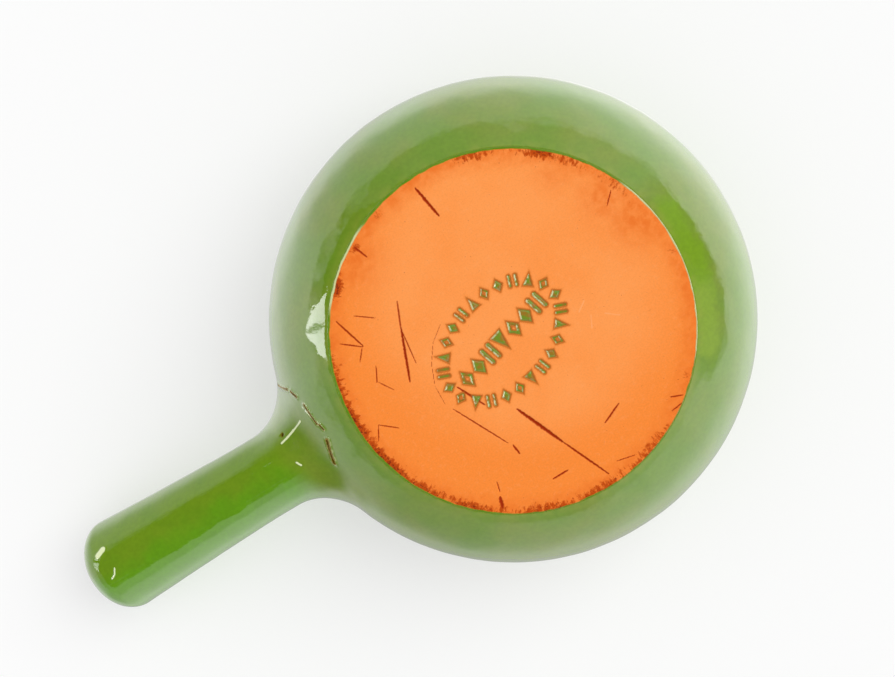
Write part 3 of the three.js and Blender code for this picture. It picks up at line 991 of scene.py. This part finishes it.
def add_marks(nodes, colour, roughness, gloss, normal, marks):
    """The look of the glaze with its dull places, pale glaze and painted highlights beside the cracks,
    painted highlight streaks on low ridges, cracks and vent.
    """
    for *segment, share in marks["dull"]:
        gloss = nodes.times(gloss, nodes.ramp(nodes.nearest([segment]), 0.45, 1.35, share, 1.0))
    ragged = nodes.times(nodes.noise(0.8, 3, 0.6), 1.1, -0.55)
    crack = nodes.math("ADD", nodes.nearest(marks["cracks"]), ragged)
    pit = nodes.times(ragged, 0.4, nodes.nearest([marks["vent"]]))
    highlight_streak = nodes.times(ragged, 0.4, nodes.nearest(marks["highlight_streaks"]))
    # the vent's dark core is painted shade down the hole; its rusty ring is its own colour
    core = nodes.math("MAXIMUM", nodes.ramp(crack, 0.75, 0.35), nodes.ramp(pit, 1.0, 0.75))
    rust = nodes.math("MAXIMUM", nodes.ramp(crack, 1.35, 0.9), nodes.ramp(pit, 1.5, 1.1, 0.0, 0.7))
    # pale glaze beside the cracks, partly a painted highlight
    pale = nodes.ramp(crack, 2.6, 1.4)
    raised = nodes.math("MAXIMUM", nodes.times(pale, 0.5), nodes.ramp(highlight_streak, 1.8, 0.0))
    colour = nodes.coat(
        colour,
        (nodes.times(pale, nodes.patches(1.8, (0.42, 0.62), 0.0, 0.4)), PALE_GLAZE_AND_HIGHLIGHT),
        # painted highlight along the streaks
        (nodes.ramp(highlight_streak, 1.15, 0.7), PAINTED_HIGHLIGHT),
        (nodes.times(rust, 0.9), CRACK_RUST),
        (core, CRACK_DARK),
    )
    bare = nodes.math("MAXIMUM", core, nodes.times(rust, 0.7))
    normal = nodes.bump(raised, STREAK_RISE, 1.0, normal)
    normal = nodes.bump(nodes.times(core, -1.0), 0.15, 1.0, normal)
    return colour, nodes.times(bare, 0.6, roughness), nodes.times(bare, -0.4, gloss), normal


def glaze_material(name, marks=None):
    """Mottled glossy green."""
    nodes = Nodes(bpy.data.materials.new(name))
    x, y, _ = nodes.add("SeparateXYZ", {0: nodes.place}).outputs
    # the belly's milkier greens are partly painted reflection
    belly = nodes.mix(nodes.patches(34, (0.38, 0.62)), BELLY_GREEN, BELLY_OLIVE)
    aside = nodes.times(nodes.noise(12), OLIVE_WANDER, y)
    grip = nodes.mix(nodes.over(aside, OLIVE_SIDE), GRIP_GREEN, GRIP_OLIVE)
    colour = nodes.mix(nodes.over(x, GRIP_PAINT_START), belly, grip)
    colour = nodes.mix(nodes.patches(9, (0.35, 0.7), 0.0, 0.3, 3), colour, GLAZE_DEEP)
    for *segment, paint in marks["bright"] if marks else ():
        away = nodes.times(nodes.noise(3), 1.2, nodes.nearest([segment]))
        colour = nodes.mix(nodes.ramp(away, 2.1, 0.9), colour, paint)
    thin = nodes.times(nodes.layer("thin"), nodes.patches(5, (0.35, 0.65), 0.0, 0.3))
    speckle = nodes.patches(1.6, (0.25, 0.75), 0.95, 1.05)
    colour = nodes.coat(colour, (1.0, speckle, "MULTIPLY"), (thin, GLAZE_THIN))
    roughness = nodes.patches(20, (0.3, 0.7), *GLAZE_ROUGHNESS)
    normal = nodes.bump(nodes.noise(2.4, 2, 0.4), 0.025)
    gloss = nodes.between(nodes.over(x, GRIP_SHINE_START), SHINE, nodes.over(y, GRIP_SIDES, *GRIP_SHINE))
    look = (colour, roughness, gloss, normal)
    return nodes.surface(*(add_marks(nodes, *look, marks) if marks else look))


CLAY = (0.968, 0.322, 0.08)
CLAY_DEEP = (0.925, 0.25, 0.038)
CLAY_RED = (0.82, 0.17, 0.02)
CLAY_DUSTY = (0.98, 0.42, 0.17)
SCORCH = (0.5, 0.065, 0.003)
SCORCH_DARK = (0.21, 0.022, 0.003)
CUT_BROWN = (0.36, 0.024, 0.001)
BRIM_BROWN = (0.42, 0.1, 0.008)
DEEP_PIXEL = (488, 512)  # the clay is deeper in colour towards it
STAMP_GREEN = (0.17, 0.27, 0.02)
STAMP_BROWN = (0.33, 0.17, 0.018)
STAMP_HALO = (0.84, 0.23, 0.035)


DEEP_ZONE = (38, 72)  # distances from the pot's axis, counted longer on that side
DEEP_LEAN = 0.35
RAY_LENGTH = 0.5  # the streaks of the scorching run outwards


def clay_material():
    """Bare clay: orange, redder and scorched towards its edge, with pooled glaze in the stamp."""
    nodes = Nodes(bpy.data.materials.new("terracotta"))
    x, y, _ = nodes.add("SeparateXYZ", {0: nodes.place}).outputs
    flat = nodes.add("CombineXYZ", {0: x, 1: y}).outputs[0]
    radius = nodes.vector("LENGTH", flat)
    aside = nodes.vector("DOT_PRODUCT", flat, (*unit(on_base(*DEEP_PIXEL)), 0))
    arc = nodes.times(nodes.math("ARCTAN2", y, x), FOOT_RADIUS * MM)
    rays = nodes.add("CombineXYZ", {0: arc, 1: nodes.times(radius, RAY_LENGTH)}).outputs[0]
    red = nodes.math("MAXIMUM", nodes.layer("rim", 0.95), nodes.layer("smudge"))
    scorch = nodes.layer("scorch")
    burnt = nodes.times(scorch, 0.44, nodes.noise(1.4, 4, 0.7, rays))
    darker = nodes.times(scorch, 0.34, nodes.noise(1.0, 3, 0.7))
    pooled = nodes.mix(nodes.patches(2.6, (0.4, 0.62)), STAMP_GREEN, STAMP_BROWN)
    film = nodes.mix(nodes.patches(5, (0.35, 0.65)), BELLY_GREEN, GLAZE_DEEP)
    colour = nodes.coat(
        CLAY,
        (nodes.patches(28, (0.35, 0.7), 0.0, 0.4, 3), CLAY_DEEP),
        (nodes.over(nodes.times(aside, DEEP_LEAN, radius), DEEP_ZONE), CLAY_DEEP),
        (nodes.patches(2.2, (0.5, 0.75), 0.0, 0.22, 5, 0.7), CLAY_DUSTY),
        (1.0, nodes.patches(0.7, (0.3, 0.7), 0.95, 1.03, 3, 0.6), "MULTIPLY"),
        (nodes.times(red, nodes.patches(4.5, (0.35, 0.65), 0.4, 1.0, 4, 0.65)), CLAY_RED),
        (nodes.patches(1.1, (0.71, 0.77), 0.0, 0.6), SCORCH),
        (nodes.ramp(burnt, 0.65, 0.83), SCORCH),
        (nodes.ramp(darker, 0.77, 0.9), SCORCH_DARK),
        (nodes.layer("halo", 0.6), STAMP_HALO),
        (nodes.layer("cut"), CUT_BROWN),
        (nodes.layer("pale", 0.7), CLAY_DUSTY),
        (nodes.layer("stamp"), pooled),
        (nodes.layer("brim", 0.7), BRIM_BROWN),
        # painted highlight on the stamp's drops
        (nodes.layer("painted_glint", 0.9), PAINTED_HIGHLIGHT),
        (nodes.layer("film"), film),
        # thin pale glaze with a painted highlight along the film's edge
        (nodes.layer("line"), PALE_GLAZE_AND_HIGHLIGHT),
    )
    glazed = nodes.math("MAXIMUM", nodes.layer("stamp"), nodes.layer("film"))
    roughness = nodes.ramp(glazed, 0.2, 0.8, 0.78, 0.07)
    gloss = nodes.ramp(glazed, 0.2, 0.8, 0.1, 0.6)
    return nodes.surface(colour, roughness, gloss, nodes.bump(nodes.noise(0.6, 4, 0.7), 0.05, 0.5))


# Stage

TABLE_GAP = 0.3
STAGE_SIZE = 3000.0
STAGE_LEVEL = 0.980  # brightness of the open sheet
STAGE_SHARE = (0.5, 0.53, 0.48)  # of it that comes from the light, which evens out green bounces
FADE = (350, 900)  # distances over which the sheet ends
ROOM_LIGHT = 0.72
KEY_LIGHT = 0.42
TOP_LIGHT = 0.55


def stage_plane(name, height, faces_up, light):
    """A pale sheet that only the camera sees, from its front, and that fades into the room."""
    half = STAGE_SIZE / 2 * MM
    corners = [(-half, -half, 0), (half, -half, 0), (half, half, 0), (-half, half, 0)]
    mesh = bpy.data.meshes.new(name)
    mesh.from_pydata(corners, [], [(0, 1, 2, 3) if faces_up else (3, 2, 1, 0)])
    material = bpy.data.materials.new(name)
    nodes = Nodes(material)
    paint = [STAGE_LEVEL * share / light for share in STAGE_SHARE]
    glow = [STAGE_LEVEL * (1 - share) for share in STAGE_SHARE]
    lit = nodes.add("BsdfDiffuse", {"Color": (*paint, 1)}).outputs[0]
    shine = nodes.add("Emission", {"Color": (*glow, 1), "Strength": 1.0}).outputs[0]
    front = nodes.add("AddShader", {0: shine, 1: lit}).outputs[0]
    back = nodes.add("BsdfTransparent").outputs[0]
    behind = nodes.add("NewGeometry").outputs["Backfacing"]
    hidden = nodes.math("MAXIMUM", behind, nodes.over(nodes.vector("LENGTH", nodes.place), FADE))
    both = nodes.add("MixShader", {0: hidden, 1: front, 2: back}).outputs[0]
    nodes.add("OutputMaterial", {"Surface": both})
    mesh.materials.append(material)
    sheet = add_object(name, mesh)
    sheet.location.z = height * MM
    for ray in ("diffuse", "glossy", "transmission", "shadow"):
        setattr(sheet, f"visible_{ray}", False)


# The room as the glaze mirrors it. Rings run round the pot from +X through +Y in steps of 15
# degrees, and heights are degrees from straight below the pot.
HIGH_RING = (2.0, 2.5, 2.8, 2.7, 1.9, 1.6, 1.85, 1.8, 2.05, 2.35, 2.95, 3.3,
             3.3, 3.3, 3.2, 3.0, 2.7, 2.4, 2.1, 1.8, 1.6, 1.1, 1.0, 1.6)
LOW_RING = (0.7, 1.3, 0.7, 0.6, 0.5, 0.4, 0.65, 0.7, 0.9, 1.0, 1.4, 1.5,
            0.5, 0.25, 0.7, 0.9, 2.1, 1.8, 1.5, 0.75, 0.9, 0.85, 0.8, 0.7)
LOW_EDGE = (44, 50, 60, 67, 70, 44, 40, 40, 40, 40, 40, 40,
            40, 40, 40, 40, 40, 40, 40, 40, 44, 54, 52, 49)
HIGH_EDGE = (76, 71, 73, 71, 71, 71, 74, 73, 72, 75, 74, 76,
             76, 80, 87, 82, 62, 66, 70, 72, 70, 66, 70, 74)
DARK_BLUR = (-2, 2)  # degrees round an edge
BRIGHT_BLUR = (-4, 5)
RAGGED = 18.0  # degrees by which the edges wander
RAGGED_SCALE = 9.0
CEILING_LIGHT = 2.5  # what the rings run into above the pot, by half
CEILING_START = (105, 130)
DIM_START = (118, 168)  # heights over which the light falls to the share below
DIM_SHARE = 0.36
SHADED_TURN = 300.0  # the light above the pot is weaker on this side, by this share
SHADED_SHARE = 0.35
SHADED_START = (105, 140)
DARK_LEVEL = 0.04
PANE_LIGHT = 10.0
PANES = ((27.5, 37.5), (16.5, 26.5))  # round the pot
PANE_HEIGHTS = (54, 77)
PANE_BLUR = 0.5
PANE_MIDDLE = 27.0  # their upper ends fall off to both sides of it
PANE_BEND = 0.17


def ring_ramp(nodes, turn, values):
    """The value of a ring in a direction. The ramp holds shares of the greatest."""
    made = nodes.add("ValToRGB", {"Fac": turn})
    ramp = made.color_ramp
    ramp.interpolation = "EASE"
    for k in range(1, len(values)):
        ramp.elements.new(k / len(values))
    for k, value in enumerate((*values, values[0])):
        share = value / max(values)
        ramp.elements[k].position = k / len(values)
        ramp.elements[k].color = (share, share, share, 1)
    return nodes.times(made.outputs["Color"], max(values))


def world():
    made = bpy.data.worlds.new("studio")
    bpy.context.scene.world = made
    nodes = Nodes(made)
    direction = nodes.places["Generated"]
    x, y, z = nodes.add("SeparateXYZ", {0: direction}).outputs
    height = nodes.times(nodes.math("ARCCOSINE", nodes.times(z, -1.0)), 180 / math.pi)
    turn = nodes.math("DIVIDE", nodes.math("ARCTAN2", y, x), 2 * math.pi)
    turn = nodes.math("FRACT", nodes.math("ADD", turn, 1.0))
    cloudy = nodes.add("TexNoise", {"Vector": direction, "Scale": RAGGED_SCALE, "Detail": 2.0})
    wander = nodes.times(nodes.math("SUBTRACT", cloudy.outputs["Fac"], 0.5), RAGGED, height)
    lit = nodes.ramp(nodes.math("SUBTRACT", wander, ring_ramp(nodes, turn, LOW_EDGE)), *DARK_BLUR)
    low = nodes.times(lit, ring_ramp(nodes, turn, LOW_RING), DARK_LEVEL)
    high = ring_ramp(nodes, turn, HIGH_RING)
    high = nodes.between(nodes.ramp(height, *CEILING_START, 0.0, 0.5), high, CEILING_LIGHT)
    high = nodes.times(high, nodes.ramp(height, *DIM_START, 1.0, DIM_SHARE))
    shaded = nodes.math("COSINE", nodes.times(turn, 2 * math.pi, -math.radians(SHADED_TURN)))
    shaded = nodes.times(shaded, nodes.ramp(height, *SHADED_START, 0.0, SHADED_SHARE))
    high = nodes.times(high, nodes.math("SUBTRACT", 1.0, shaded))
    above = nodes.math("SUBTRACT", wander, ring_ramp(nodes, turn, HIGH_EDGE))
    room = nodes.between(nodes.ramp(above, *BRIGHT_BLUR), low, high)
    degrees = nodes.times(turn, 360.0)
    aside = nodes.math("SUBTRACT", degrees, PANE_MIDDLE)
    bent = nodes.times(nodes.times(aside, aside), PANE_BEND, height)
    bottom, top = PANE_HEIGHTS
    for left, right in PANES:
        pane = PANE_LIGHT
        for value, edge, blur in (
            (degrees, left, PANE_BLUR), (degrees, right, -PANE_BLUR),
            (height, bottom, PANE_BLUR), (bent, top, -PANE_BLUR),
        ):
            pane = nodes.times(nodes.ramp(value, edge - blur, edge + blur), pane)
        room = nodes.math("ADD", room, pane)
    rays = nodes.add("LightPath").outputs
    strength = nodes.between(rays["Is Glossy Ray"], ROOM_LIGHT, room)
    strength = nodes.between(rays["Is Camera Ray"], strength, STAGE_LEVEL)
    light = nodes.add("Background", {"Color": (1, 1, 1, 1), "Strength": strength}).outputs[0]
    nodes.add("OutputWorld", {"Surface": light})


def soft_sun(name, towards, level, spread):
    """Even soft light that comes from a direction. Level is what a white sheet facing it shows."""
    light = bpy.data.lights.new(name, "SUN")
    light.energy = level * math.pi
    light.angle = math.radians(spread)
    lamp = add_object(name, light)
    lamp.rotation_euler = Vector(towards).to_track_quat("Z", "Y").to_euler()
    lamp.visible_glossy = False


def camera():
    data = bpy.data.cameras.new("camera")
    data.lens = LENS
    data.sensor_width = SENSOR
    data.clip_end = 100
    made = add_object("camera", data)
    turn = Matrix([CAMERA_RIGHT, CAMERA_TOP, -CAMERA_VIEW]).transposed()
    made.matrix_world = Matrix.Translation(Vector(CAMERA_PLACE) * MM) @ turn.to_4x4()
    bpy.context.scene.camera = made


KEY_DIRECTION = unit(0.6 * CAMERA_RIGHT + 0.36 * CAMERA_TOP - CAMERA_VIEW)
TOP_DIRECTION = unit(np.array([-0.35, -0.35, 1.0]))

camera()
clay = clay_material()
make_glaze_outside()
make_glaze_inside()
make_pot_body(clay)
for node in ("handle", "luting_slip"):
    for held in frame["nodes"][node].material_slots:
        held.material = clay

stage_plane("table", POT_HEIGHT + TABLE_GAP, False, ROOM_LIGHT - KEY_LIGHT * KEY_DIRECTION[2])
stage_plane("floor", -TABLE_GAP, True, ROOM_LIGHT + TOP_LIGHT * TOP_DIRECTION[2])
world()
soft_sun("key", KEY_DIRECTION, KEY_LIGHT, 50)
soft_sun("top", TOP_DIRECTION, TOP_LIGHT, 60)
bpy.context.scene.view_settings.view_transform = "Standard"
